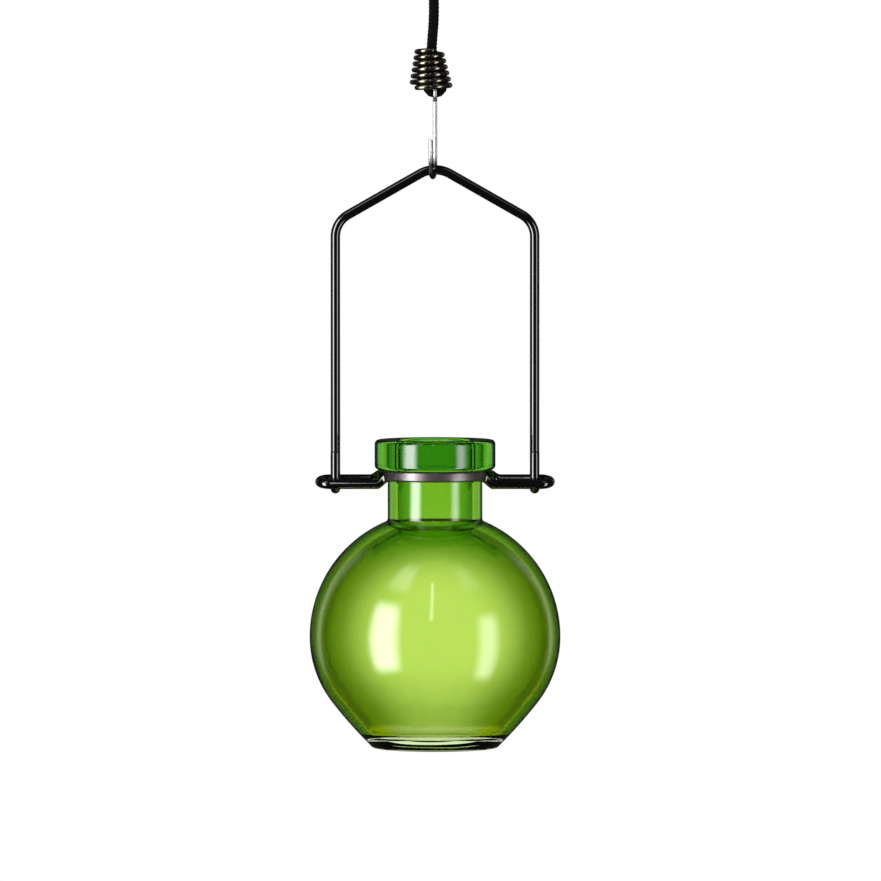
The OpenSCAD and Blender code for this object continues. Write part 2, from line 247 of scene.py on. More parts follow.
class Value:
    """An output in a node tree. Arithmetic on it adds the Math nodes."""

    def __init__(self, graph, socket):
        self.graph = graph
        self.socket = socket

    __add__ = __radd__ = arithmetic("ADD")
    __sub__ = arithmetic("SUBTRACT")
    __rsub__ = arithmetic("SUBTRACT", turned=True)
    __mul__ = __rmul__ = arithmetic("MULTIPLY")
    __truediv__ = arithmetic("DIVIDE")


class Graph:
    """Adds nodes and links to one node tree."""

    def __init__(self, tree):
        self.tree = tree

    def add(self, kind, settings=None, inputs=None):
        """A new node, with its settings made first and then its sockets' values or links."""
        node = self.tree.nodes.new(kind)
        for name, value in (settings or {}).items():
            if name == "stops":
                fill_ramp(node.color_ramp, value)
            else:
                setattr(node, name, value)
        for name, value in (inputs or {}).items():
            self.put(node.inputs[name], value)
        return node

    def put(self, socket, value):
        """Gives a socket a value, or links it."""
        if isinstance(value, Value):
            self.tree.links.new(value.socket, socket)
        else:
            socket.default_value = value

    def value(self, kind, settings=None, inputs=None, output=0):
        """One output of a new node, the first if no other is asked for."""
        return Value(self, self.add(kind, settings, inputs).outputs[output])

    def math(self, operation, *numbers):
        """The result of a Math node."""
        return self.value("ShaderNodeMath", {"operation": operation}, dict(enumerate(numbers)))

    def mix(self, factor, first, second):
        """A colour between two others."""
        inputs = {"Factor": factor, 6: first, 7: second}
        return self.value("ShaderNodeMix", {"data_type": "RGBA"}, inputs, 2)

    def split(self, vector):
        """The three numbers of a vector."""
        made = self.add("ShaderNodeSeparateXYZ", None, {"Vector": vector})
        return [Value(self, socket) for socket in made.outputs]

    def step(self, value, low, high):
        """Smooth step from 0 at one value to 1 at the other."""
        inputs = {"Value": value, "From Min": low, "From Max": high}
        return self.value("ShaderNodeMapRange", {"interpolation_type": "SMOOTHSTEP"}, inputs)


def fill_ramp(ramp, stops):
    """Sets a colour ramp's stops, given as place and colour."""
    while len(ramp.elements) < len(stops):
        ramp.elements.new(1)
    for element, (place, shade) in zip(ramp.elements, stops):
        element.position = place
        element.color = shade


def opaque(shade):
    """A colour with its alpha."""
    return (*shade, 1)


# Materials

# Painted shade of the glass where it turns away from the view, with a painted highlight in the rim: how
# far it has turned, and the colour
BALL_EDGES = (
    (0.46, (0.17, 0.29, 0.0)),
    (0.56, (0.12, 0.24, 0.0)),
    (0.66, (0.012, 0.06, 0.0)),
    (0.9, (0.001, 0.008, 0.0)),
)
NECK_EDGES = (
    (0.4, (0.12, 0.4, 0.01)),
    (0.6, (0.06, 0.28, 0.002)),
    (0.75, (0.002, 0.02, 0.0)),
    (0.9, (0.0, 0.004, 0.0)),
)
RIM_EDGES = (
    (0.28, (0.02, 0.2, 0.004)),
    (0.38, (0.0, 0.014, 0.0)),
    (0.52, (0.3, 1.0, 0.04)),
    (0.7, (0.0, 0.006, 0.0)),
)
# How far the glass turns away before its colour begins to pass to those
FIRST_TURN = 0.04
# Heights above the base where one colour of the glass passes to another, and distances from the axis
NECK_HEIGHTS = (0.075, 0.108)
# Where the base is painted pale with painted light: the slab's heights and distances from the axis, and
# the foot's heights
SLAB_HEIGHTS = (0.0105, 0.0075)
SLAB_RADII = (0.031, 0.0275)
FOOT_HEIGHTS = (0.0068, 0.0052)
RIM_BLEND = 0.001

# Heights above the bail's wire where the painted dark reflection in the hook's crook begins and is full
CROOK_REFLECTION_HEIGHTS = (0.0075, 0.002)
# Where the rubbed band on the ring ends: distances across, and from its middle up or down
BAND_ACROSS = (0.023, 0.017)
BAND_UP = (0.0022, 0.0013)
# How much of a metal the rubbed band is, and how much rougher than the rest
BAND_METAL = 0.8
BAND_ROUGHNESS = 0.26


class Finish(Graph):
    """A material on one Principled shader."""

    def __init__(self, name, **constants):
        self.material = bpy.data.materials.new(name)
        self.material.use_nodes = True
        super().__init__(self.material.node_tree)
        self.shader = self.tree.nodes["Principled BSDF"]
        for socket, value in constants.items():
            self.shader.inputs[socket.replace("_", " ")].default_value = value

    def place(self):
        """Object coordinates."""
        return self.value("ShaderNodeTexCoord", output="Object")

    def noise(self, scale, detail=2.0):
        """Noise from 0 to 1."""
        inputs = {"Scale": scale, "Detail": detail, "Vector": self.place()}
        return self.value("ShaderNodeTexNoise", None, inputs)

    def vary(self, scale, low, high, detail=2.0):
        """A number that varies over the surface between two others."""
        return self.noise(scale, detail) * (high - low) + low

    def drift(self, first, second, scale, detail=2.0):
        """A colour that drifts over the surface between two others."""
        return self.mix(self.noise(scale, detail), opaque(first), opaque(second))

    def drive(self, socket, value):
        """Links a socket of the shader."""
        self.put(self.shader.inputs[socket], value)

    def bump(self, scale, detail, distance, strength):
        """Uneven relief in the surface, its distance in metres."""
        inputs = {"Height": self.noise(scale, detail), "Distance": distance, "Strength": strength}
        self.drive("Normal", self.value("ShaderNodeBump", None, inputs))


def glass_finish(glass):
    """Clear green glass: lime in the ball, emerald in the neck and rim, with painted light making the
    thick base pale and painted shade at its edges.
    """
    made = Finish("clear green glass", Transmission_Weight=1.0, IOR=1.5, Roughness=0.0)
    across, depth, level = made.split(made.place())
    radius = made.math("SQRT", across * across + depth * depth)
    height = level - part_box("glass_vase")[0].z
    turned = made.value("ShaderNodeLayerWeight", None, {"Blend": 0.5}, "Facing")

    def shade(face, edges):
        """A face-on colour that passes to painted shade, and on the rim a painted highlight, where the
        surface turns away.
        """
        stops = [(place, opaque(tint)) for place, tint in edges]
        ramp = made.value("ShaderNodeValToRGB", {"stops": stops}, {"Fac": turned})
        return made.mix(made.step(turned, FIRST_TURN, edges[0][0]), face, ramp)

    # Painted shade darkens the glass where it turns away from the view; the rim also gets a painted
    # highlight
    ball = shade(made.drift(glass.ball_tint, glass.drift_tint, scale=22), BALL_EDGES)
    neck = shade(opaque(glass.neck_tint), NECK_EDGES)
    rim = shade(opaque(glass.rim_tint), RIM_EDGES)
    seat = glass.seat_height
    tint = made.mix(made.step(height, *NECK_HEIGHTS), ball, neck)
    tint = made.mix(made.step(height, seat - RIM_BLEND, seat + RIM_BLEND), tint, rim)
    slab = made.step(height, *SLAB_HEIGHTS) * made.step(radius, *SLAB_RADII)
    foot = made.math("MAXIMUM", slab, made.step(height, *FOOT_HEIGHTS))
    # Painted light: the thick base is painted pale
    made.drive("Base Color", made.mix(foot, tint, opaque(glass.foot_light_tint)))
    made.bump(scale=28, detail=1.0, distance=0.0004, strength=1.0)
    inputs = {"Color": opaque(glass.depth_tint), "Density": glass.density}
    dye = made.value("ShaderNodeVolumeAbsorption", None, inputs)
    made.put(made.tree.nodes["Material Output"].inputs["Volume"], dye)
    return made.material


def enamel_finish(bail, ring):
    """Glossy black enamel on wire, rubbed to a satin grey on the ring's hammered band."""
    made = Finish("black enamel", Coat_Roughness=0.04, Specular_IOR_Level=0.5)
    across, _, level = made.split(made.place())
    middle = made.step(made.math("ABSOLUTE", across), *BAND_ACROSS)
    from_line = made.math("ABSOLUTE", level - (EAR.z + ring.rise))
    band = middle * made.step(from_line, *BAND_UP)
    rubbed = band * made.vary(scale=300, low=0.5, high=1.1, detail=3.0)
    plain = made.drift(bail.tint, bail.worn_tint, scale=420, detail=3.0)
    made.drive("Base Color", made.mix(rubbed, plain, opaque(bail.rubbed_tint)))
    made.drive("Metallic", band * BAND_METAL)
    made.drive("Roughness", made.vary(scale=500, low=0.06, high=0.1) + band * BAND_ROUGHNESS)
    made.drive("Coat Weight", made.vary(scale=160, low=0.3, high=0.5, detail=1.0) * (1 - band))
    made.bump(scale=260, detail=1.0, distance=0.00005, strength=0.5)
    return made.material


def steel_finish(hook):
    """Bright drawn steel wire, with a painted dark reflection of the black bail in the crook."""
    made = Finish("bright steel")
    level = made.split(made.place())[2]
    # Painted reflection: the crook is painted dark, for the black bail that it reflects
    crook_reflection = made.step(level - APEX.z, *CROOK_REFLECTION_HEIGHTS)
    bright = made.drift(hook.tint, hook.light_tint, scale=1100)
    made.drive("Metallic", made.vary(scale=700, low=0.94, high=1.0, detail=1.0))
    made.drive("Base Color", made.mix(crook_reflection, bright, opaque(hook.crook_reflection_tint)))
    made.drive("Roughness", made.vary(scale=600, low=0.32, high=0.44))
    return made.material


def nickel_finish(sleeve):
    """Dark, warm nickel plating, lighter where it is rubbed."""
    made = Finish("dark nickel")
    made.drive("Metallic", made.vary(scale=500, low=0.95, high=1.0, detail=1.0))
    made.drive("Base Color", made.drift(sleeve.tint, sleeve.rubbed_tint, scale=650))
    made.drive("Roughness", made.vary(scale=700, low=0.13, high=0.21))
    return made.material


def yarn_finish(cord):
    """Matt black yarn."""
    made = Finish("black yarn", Sheen_Weight=0.004, Sheen_Roughness=0.5, Specular_IOR_Level=0.04)
    made.drive("Base Color", made.drift(cord.tint, cord.faded_tint, scale=900))
    made.drive("Roughness", made.vary(scale=1500, low=0.6, high=0.8))
    made.bump(scale=5200, detail=2.0, distance=0.00006, strength=0.6)
    return made.material


# Lines and meshes


def arc(centre, radius, start, end, across, up, step):
    """Points along an arc in the plane of two directions, with its angles and step in degrees."""
    parts = max(2, math.ceil(abs(end - start) / step))
    angles = (math.radians(start + (end - start) * i / parts) for i in range(parts + 1))
    return [centre + radius * (across * math.cos(a) + up * math.sin(a)) for a in angles]


def rounded_ends(line, radius, edge):
    """The line as points and scales, with a small rounded edge at both ends."""
    def cap(end, other):
        way = (other - end).normalized()
        for turn in (90, 67.5, 45, 22.5, 0):
            a = math.radians(turn)
            yield end + way * edge * (1 - math.sin(a)), 1 - (1 - math.cos(a)) * edge / radius

    first, last = list(cap(line[0], line[1])), list(cap(line[-1], line[-2]))
    return first + [(point, 1) for point in line[1:-1]] + last[::-1]


def new_tree(name, **names):
    """Starts a node tree on geometry, with inputs given as a kind of socket and their names."""
    tree = bpy.data.node_groups.new(name, "GeometryNodeTree")
    for way in ("INPUT", "OUTPUT"):
        tree.interface.new_socket("Geometry", in_out=way, socket_type="NodeSocketGeometry")
    for kind, sockets in {**names, "Material": ["Finish"]}.items():
        for socket in sockets:
            tree.interface.new_socket(socket, in_out="INPUT", socket_type="NodeSocket" + kind)
    graph = Graph(tree)
    return graph, {out.name: Value(graph, out) for out in graph.add("NodeGroupInput").outputs}


def finish_tree(graph, mesh, given):
    """Ends a node tree: smooth faces, real geometry and the finish."""
    for kind in ("GeometryNodeSetShadeSmooth", "GeometryNodeRealizeInstances"):
        mesh = graph.value(kind, None, {"Geometry": mesh})
    inputs = {"Geometry": mesh, "Material": given["Finish"]}
    painted = graph.value("GeometryNodeSetMaterial", None, inputs)
    graph.add("NodeGroupOutput", None, {"Geometry": painted})
    return graph.tree


def circle(graph, sides, radius):
    """A round profile."""
    inputs = {"Resolution": sides, "Radius": radius}
    return graph.value("GeometryNodeCurvePrimitiveCircle", None, inputs)


def sweep(graph, curve, profile, scale):
    """The solid that a profile makes along a curve."""
    inputs = {"Curve": curve, "Profile Curve": profile, "Scale": scale, "Fill Caps": True}
    return graph.value("GeometryNodeCurveToMesh", None, inputs)


def moved(graph, mesh, offset):
    """A mesh or curve with its points moved."""
    inputs = {"Geometry": mesh, "Offset": offset}
    return graph.value("GeometryNodeSetPosition", None, inputs)


def wire_tree():
    """Node tree that sweeps a round wire along a curve, thinner where its radius says so."""
    graph, given = new_tree("Round wire", Float=["Wire Radius"], Int=["Sides"])
    profile = circle(graph, given["Sides"], given["Wire Radius"])
    scale = graph.value("GeometryNodeInputRadius")
    return finish_tree(graph, sweep(graph, given["Geometry"], profile, scale), given)


def grown(name, data, tree, settings, **values):
    """The plain mesh piece that a node tree makes, with its inputs from settings or values."""
    host = shown(name + "_line", data)
    modifier = host.modifiers.new(tree.name, "NODES")
    modifier.node_group = tree
    for item in tree.interface.items_tree:
        key = item.name.lower().replace(" ", "_")
        if item.in_out == "INPUT" and key != "geometry":
            modifier[item.identifier] = values[key] if key in values else getattr(settings, key)
    depsgraph = bpy.context.evaluated_depsgraph_get()
    mesh = bpy.data.meshes.new_from_object(host.evaluated_get(depsgraph))
    bpy.data.objects.remove(host)
    return shown(name, mesh)


def shown(name, data):
    """Puts a mesh, curve, camera or lamp into the scene."""
    data.name = name
    made = bpy.data.objects.new(name, data)
    bpy.context.scene.collection.objects.link(made)
    return made


def curve_of(line):
    """A curve through points and scales."""
    data = bpy.data.curves.new("line", "CURVE")
    data.dimensions = "3D"
    path = data.splines.new("POLY")
    path.points.add(len(line) - 1)
    for point, (place, scale) in zip(path.points, line):
        point.co = (*place, 1)
        point.radius = scale
    return data


def wire_piece(name, line, size, finish):
    """A round wire along a line, with the sizes from its settings."""
    radius = size.wire / 2
    curve = curve_of(rounded_ends(line, radius, size.cut_edge))
    return grown(name, curve, wire_tree(), size, wire_radius=radius, finish=finish)


def band(first, second, sides):
    """Faces between two closed rows of points, given by their first points."""
    turn = [(k, (k + 1) % sides) for k in range(sides)]
    return [(first + k, first + m, second + m, second + k) for k, m in turn]


def loft(name, rings, material):
    """A smooth mesh through rings of points, the last joined to the first."""
    sides = len(rings[0])
    points = [point for ring in rings for point in ring]
    faces = []
    for i in range(len(rings)):
        faces += band(i * sides, (i + 1) % len(rings) * sides, sides)
    return smooth_mesh(name, points, faces, material)


def smooth_mesh(name, points, faces, material):
    """A shaded mesh piece whose faces all point outwards."""
    mesh = bpy.data.meshes.new(name)
    mesh.from_pydata(points, [], faces)
    work = bmesh.new()
    work.from_mesh(mesh)
    bmesh.ops.recalc_face_normals(work, faces=work.faces)
    work.to_mesh(mesh)
    work.free()
    mesh.polygons.foreach_set("use_smooth", [True] * len(mesh.polygons))
    mesh.materials.append(material)
    return shown(name, mesh)


def settle(piece, body, slot, *nodes):
    """Puts a piece on its body, in place of CAD nodes."""
    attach(piece, body)
    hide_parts(*nodes)


def spline(route, step):
    """Points a step apart on a smooth curve through a route."""
    line = []
    last = len(route) - 1
    for i in range(last):
        a, b = route[max(i - 1, 0)], route[i]
        c, d = route[i + 1], route[min(i + 2, last)]
        parts = max(1, round((c - b).length / step))
        for s in range(parts):
            t = s / parts
            line.append(
                (2 * b + (c - a) * t + (2 * a - 5 * b + 4 * c - d) * t**2
                 + (3 * b - a - 3 * c + d) * t**3) / 2
            )
    return line + [route[last]]


# Cord


def cord_route():
    """Route of the cord from its lower bend up, round the hanging loop and into the crimp."""
    rise = (
        (0.00313, -0.0835), (0.003, -0.0808), (0.0021, -0.078), (0.0007, -0.0754),
        (-0.0004, -0.0728), (-0.0011, -0.07), (-0.0014, -0.067), (-0.0011, -0.062),
        (-0.0007, -0.057), (-0.0005, -0.052), (-0.0005, -0.047), (-0.0007, -0.042),
        (-0.0013, -0.037), (-0.0019, -0.033), (-0.00215, -0.029),
    )
    loop = (
        (-0.00215, -0.024), (-0.00215, -0.02), (-0.0025, -0.0174), (-0.0036, -0.0151),
        (-0.0054, -0.0132), (-0.0073, -0.0111), (-0.0085, -0.008), (-0.0084, -0.0047),
        (-0.0071, -0.0017), (-0.0048, 0.0006), (-0.0018, 0.0019),
    )
    other_half = [(-x, z) for x, z in reversed(loop)]
    cut_end = (0.00215, -0.0285)
    return [Vector((x, 0, z)) for x, z in (*rise, *loop, *other_half, cut_end)]


def tail_route(cord):
    """Line of the cord's lower bend and its cut tail, from the tail's end."""
    bend = cord_route()[0].x
    tail_centre = BIGHT - X * (bend + cord.tail_bend)
    tail = arc(tail_centre, cord.tail_bend, math.degrees(cord.tail_angle), 0, X, Z, step=1)
    return tail + arc(BIGHT, bend, 180, 360, X, Z, step=3)[1:]


def braid_tree():
    """Node tree that sweeps a braided cord along a curve."""
    graph, given = new_tree(
        "Braided cord", Float=["Cord Radius", "Lay", "Relief"], Int=["Sides", "Strands"]
    )
    relief = given["Relief"]
    proud = relief / 10
    profile = circle(graph, given["Sides"], given["Cord Radius"] + proud)
    along = stored(graph, given["Geometry"], "along", "Length")
    around = stored(graph, profile, "around", "Factor")
    plain = sweep(graph, along, around, graph.value("GeometryNodeInputRadius"))
    turn = named(graph, "around") * given["Strands"]
    run = named(graph, "along") / given["Lay"]
    right, left = turn + run, turn - run
    height = graph.math("MAXIMUM", strand(graph, right, left, 0), strand(graph, left, right, 1))
    normal = graph.value("GeometryNodeInputNormal")
    inputs = {0: normal, "Scale": (height - 0.5) * relief}
    lift = graph.value("ShaderNodeVectorMath", {"operation": "SCALE"}, inputs)
    return finish_tree(graph, moved(graph, plain, lift), given)


def stored(graph, curve, name, measure):
    """A curve that keeps a measure of its own line."""
    value = graph.value("GeometryNodeSplineParameter", output=measure)
    settings = {"data_type": "FLOAT", "domain": "POINT"}
    inputs = {"Geometry": curve, "Name": name, "Value": value}
    return graph.value("GeometryNodeStoreNamedAttribute", settings, inputs)


def named(graph, name):
    """A number kept on the mesh."""
    return graph.value("GeometryNodeInputNamedAttribute", {"data_type": "FLOAT"}, {"Name": name})


def strand(graph, across, along, shift):
    """Height of one set of strands, which pass over and under the other set."""
    crown = graph.math("SINE", graph.math("FRACT", across) * math.pi)
    wave = graph.math("COSINE", (along + graph.math("FLOOR", across) + (shift - 0.5)) * math.pi)
    return crown * (wave * 0.5 + 0.5)


class VASE_OT_cord(Operator):
    """Makes the braided cord with its hanging loop, its lower bend and the loop's crimp"""

    bl_idname = "ball_vase.cord"
    bl_label = "Cord"

    def execute(self, context):
        cord = context.scene.ball_vase.cord
        radius = cord.diameter / 2
        given = {"cord_radius": radius, "finish": yarn_finish(cord)}
        tree = braid_tree()
        lines = [spline(route, cord.step) for route in (cord_route(), tail_route(cord))]
        curves = [curve_of(rounded_ends(line, radius, cord.cut_edge)) for line in lines]
        braid = grown("cord_braid", curves[0], tree, cord, **given)
        tail = grown("cord_tail_braid", curves[1], tree, cord, **given)
        crimp = crimp_piece(cord, nickel_finish(context.scene.ball_vase.sleeve))
        settle(braid, "hanger", "cord", "cord")
        settle(tail, "hanger", "cord", "cord_bight")
        settle(crimp, "hanger", "dark_wire", "loop_crimp")
        return {"FINISHED"}


def crimp_piece(cord, finish):
    """Oval metal crimp, pressed in two bands."""
    low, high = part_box("loop_crimp")
    height = high.z - low.z
    inner = cord.diameter / 2 + cord.strand_gap
    outer = inner + cord.crimp_wall
    half = (cord.diameter + cord.strand_gap) / 2
    edge = cord.crimp_wall * 0.4
    # Share of the height that stays plain at each end, and the steps over the bands
    margin, steps = 0.16, 24
    pressed = [
        X * (outer - cord.crimp_press * math.sin(2 * math.pi * s / steps) ** 2)
        + Z * height * (margin + (1 - 2 * margin) * s / steps)
        for s in range(steps + 1)
    ]
    section = []
    for r, z, start in (
        (outer - edge, edge, -90),
        (outer - edge, height - edge, 0),
        (inner + edge, height - edge, 90),
        (inner + edge, edge, 180),
    ):
        section += arc(X * r + Z * z, edge, start, start + 90, X, Z, step=22.5)
        if start == -90:
            section += pressed
    rings = []
    for point in section:
        ring = []
        for side, start in ((1, -90), (-1, 90)):
            centre = X * side * half + Z * (low.z + point.z)
            ring += arc(centre, point.x, start, start + 180, X, Y, step=7.5)
        rings.append(ring)
    return loft("crimp_barrel", rings, finish)


# Sleeve


def coil_tree():
    """Node tree that winds a leaning conical coil of wire."""
    graph, given = new_tree(
        "Cone coil",
        Float=["Low Radius", "Top Radius", "Height", "Turns", "Start", "Lean", "Wire Radius"],
        Vector=["Foot"],
        Int=["Steps", "Sides"],
    )
    inputs = {
        "Resolution": given["Steps"],
        "Rotations": given["Turns"],
        "Start Radius": given["Low Radius"],
        "End Radius": given["Top Radius"],
        "Height": given["Height"],
        "Reverse": True,
    }
    spiral = graph.value("GeometryNodeCurveSpiral", None, inputs)
    start = graph.value("ShaderNodeCombineXYZ", None, {"Z": given["Start"]})
    inputs = {"Geometry": spiral, "Rotation": start}
    turned = graph.value("GeometryNodeTransform", None, inputs)
    level = graph.split(graph.value("GeometryNodeInputPosition"))[2]
    lean = level / given["Height"] * given["Lean"]
    inputs = {0: graph.value("ShaderNodeCombineXYZ", None, {"X": lean}), 1: given["Foot"]}
    shift = graph.value("ShaderNodeVectorMath", {"operation": "ADD"}, inputs)
    # The wire is blunt at its ends, and full where a small share of its length has passed
    blunt, full_after = 0.75, 1 / 900
    factor = graph.value("GeometryNodeSplineParameter")
    from_end = graph.math("MINIMUM", factor, 1 - factor) / full_after
    scale = graph.math("MINIMUM", from_end, 1) * (1 - blunt) + blunt
    profile = circle(graph, given["Sides"], given["Wire Radius"])
    return finish_tree(graph, sweep(graph, moved(graph, turned, shift), profile, scale), given)


class VASE_OT_sleeve(Operator):
    """Makes the conical coil of dark wire that grips the doubled cord"""

    bl_idname = "ball_vase.sleeve"
    bl_label = "Coiled sleeve"

    def execute(self, context):
        sleeve = context.scene.ball_vase.sleeve
        piece = grown(
            "coil_sleeve",
            bpy.data.meshes.new("coil"),
            coil_tree(),
            sleeve,
            lean=sleeve.low_shift - sleeve.top_shift,
            foot=BIGHT - X * sleeve.low_shift - Z * sleeve.sag,
            wire_radius=sleeve.wire / 2,
            finish=nickel_finish(sleeve),
        )
        settle(piece, "hanger", "dark_wire", "cord_sleeve")
        return {"FINISHED"}


# Hook and bail


class VASE_OT_hook(Operator):
    """Makes the steel wire hook between the cord and the bail"""

    bl_idname = "ball_vase.hook"
    bl_label = "Steel hook"

    def execute(self, context):
        hook = context.scene.ball_vase.hook
        eye_r = cord_route()[0].x
        shank = Vector((0, eye_r, APEX.z + hook.crook_room))
        back = Vector((math.sin(hook.crook_turn), math.cos(hook.crook_turn), 0))
        crook = shank - back * hook.crook_radius
        line = [crook - back * hook.crook_radius + Z * (hook.tip - hook.crook_room)]
        line += arc(crook, hook.crook_radius, 180, 360, back, Z, step=3)
        line += arc(BIGHT - Z * eye_r, eye_r, 0, math.degrees(hook.eye_angle), Y, Z, step=3)
        piece = wire_piece("hook_wire", line, hook, steel_finish(hook))
        settle(piece, "hook", "steel_wire", "wire_hook")
        return {"FINISHED"}


def bail_line(bail):
    """Line of the bail from one free end to the other."""
    low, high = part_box("bail")
    half = ((high - low).x - bail.wire) / 2
    slope = math.atan2(bail.rise, half)
    slope_deg = math.degrees(slope)
    cut = bail.shoulder_bend * math.tan((math.pi / 2 - slope) / 2)
    corner = bail.gable_bend / math.cos(slope) - bail.gable_bend - bail.rise
    shoulder = Vector((half - bail.shoulder_bend, 0, corner - cut))
    foot = Vector((half, -bail.foot_bend, -bail.drop))
    right = arc(-Z * bail.gable_bend, bail.gable_bend, 90, 90 - slope_deg, X, Z, step=2)
    right += arc(shoulder, bail.shoulder_bend, 90 - slope_deg, 0, X, Z, step=3)
    right += arc(foot, bail.foot_bend, 360, 180, Y, Z, step=3)
    right.append(foot + Z * bail.foot_tip - Y * bail.foot_bend)
    left = [Vector((-point.x, point.y, point.z)) for point in reversed(right)]
    lean = Matrix.Rotation(math.atan2(bail.foot_bend, bail.drop), 3, "X")
    return [APEX + lean @ point for point in left + right[1:]]


class VASE_OT_bail(Operator):
    """Makes the black wire bail whose feet hook up under the ears"""

    bl_idname = "ball_vase.bail"
    bl_label = "Bail"

    def execute(self, context):
        bail = context.scene.ball_vase.bail
        finish = enamel_finish(bail, context.scene.ball_vase.ring)
        piece = wire_piece("bail_wire", bail_line(bail), bail, finish)
        settle(piece, "frame", "black_wire", "bail")
        return {"FINISHED"}


# Neck ring


def wire_section(ring, centre, out, up, flat=0):
    """Points round the ring's wire, which is round or hammered flat."""
    across = out * (ring.wire + (ring.band_thickness - ring.wire) * flat) / 2
    upward = up * (ring.wire + (ring.band_height - ring.wire) * flat) / 2
    power = 1 / (1 + flat)
    points = []
    for k in range(ring.sides):
        a = 2 * math.pi * k / ring.sides
        c, s = math.cos(a), math.sin(a)
        points.append(
            centre
            + across * math.copysign(abs(c) ** power, c)
            + upward * math.copysign(abs(s) ** power, s)
        )
    return points


def ring_half(ring, line, low):
    """Sections of the front half from right to left: a throat, the neck's arc, the other throat."""
    reach = ring.radius + ring.throat_bend
    a = -math.asin((line + ring.throat_bend) / reach)
    start = math.degrees(a)
    centre = reach * Vector((math.cos(a), math.sin(a), 0))
    places = [
        (centre + ring.throat_bend * way, -way)
        for way in arc(Vector(), 1, 90, 180 + start, X, Y, step=4)
    ]
    mirrored = [(flipped(place, "x"), flipped(out, "x")) for place, out in reversed(places)]
    neck = arc(Vector(), 1, start, -180 - start, X, Y, step=3)[1:-1]
    places += [(ring.radius * way, way) for way in neck]
    sections = []
    for place, out in places + mirrored:
        t = min(1, max(0, (centre.x - abs(place.x)) / ring.run))
        flat = t * t * (3 - 2 * t)
        level = low + (ring.rise - low) * flat
        sections.append(wire_section(ring, EAR + place + Z * level, out, Z, flat))
    return sections


def ear_sections(ring, side):
    """Sections of an ear's end bend, from its back wire to its front wire."""
    fall = Vector((0, -ring.ear_gap, -ring.ear_tilt))
    bend = fall.length / 2
    front = fall.normalized()
    up = Vector((0, front.z, -front.y))
    centre = EAR + X * side * (ring.ear_reach - bend - ring.wire / 2) + fall / 2
    return [
        wire_section(ring, centre + bend * way, way, up)
        for way in arc(Vector(), 1, -90, 90, X * side, front, step=5)
    ]


def flipped(point, axis):
    """The point mirrored across the middle."""
    made = point.copy()
    setattr(made, axis, -getattr(made, axis))
    return made


class VASE_OT_ring(Operator):
    """Makes the neck ring, flattened round the neck, with an ear on each side"""

    bl_idname = "ball_vase.ring"
    bl_label = "Neck ring"

    def execute(self, context):
        ring = context.scene.ball_vase.ring
        sections = ear_sections(ring, 1) + ring_half(ring, ring.ear_gap, -ring.ear_tilt)
        sections += reversed(ear_sections(ring, -1))
        for section in reversed(ring_half(ring, 0, 0)):
            sections.append([EAR + flipped(point - EAR, "y") for point in section])
        piece = loft("ring_wire", sections, bpy.data.materials["black enamel"])
        settle(piece, "vase", "black_wire", "neck_ring")
        return {"FINISHED"}


# Glass


# Degrees and length that one straight of the glass's rounded outline spans at most
MOST_TURN = 6
MOST_LENGTH = 0.001
# A longer run than this gets extra points near both ends, so that its shading stays straight
LONG_RUN = 0.0016
SUPPORT = 0.0002
# Nearer than this, two points of the outline are one
SAME_POINT = 1e-5


def flat_arc(centre, radius, start, end):
    """Points [r, z] along an arc, close enough together for clear glass."""
    turn = abs(end - start)
    length_parts = math.ceil(math.radians(turn) * radius / MOST_LENGTH)
    parts = max(math.ceil(turn / MOST_TURN), length_parts, 1)
    angles = (math.radians(start + (end - start) * i / parts) for i in range(parts + 1))
    return [
        Vector((centre.x + radius * math.cos(a), centre.y + radius * math.sin(a))) for a in angles
    ]


def seen(from_point, to_point):
    """Angle in degrees of one point seen from another."""
    way = to_point - from_point
    return math.degrees(math.atan2(way.y, way.x))


def ball_face(glass, inset, bottom, bottom_round, neck, neck_round):
    """Outline of one face of the ball, from its flat bottom up to its neck."""
    ball = Vector((0, glass.ball_height))
    belly = Vector((glass.belly_inset, glass.ball_height))
    belly_r = glass.ball_radius - glass.belly_inset
    turn = glass.belly_angle
    flank = belly - (glass.flank_radius - belly_r) * Vector((math.cos(turn), -math.sin(turn)))
    low_z = bottom + bottom_round
    low = Vector((
        flank.x + math.sqrt((glass.flank_radius - inset - bottom_round) ** 2 - (low_z - flank.y) ** 2),
        low_z,
    ))
    side = neck + neck_round
    high = Vector((
        side,
        glass.ball_height + math.sqrt((glass.ball_radius - inset + neck_round) ** 2 - side**2),
    ))
    low_angle, high_angle = seen(flank, low), seen(ball, high)
    return (
        flat_arc(low, bottom_round, -90, low_angle)
        + flat_arc(flank, glass.flank_radius - inset, low_angle, -math.degrees(turn))
        + flat_arc(belly, belly_r - inset, -math.degrees(turn), 0)
        + flat_arc(ball, glass.ball_radius - inset, 0, high_angle)
        + flat_arc(high, neck_round, high_angle + 180, 180)
    )


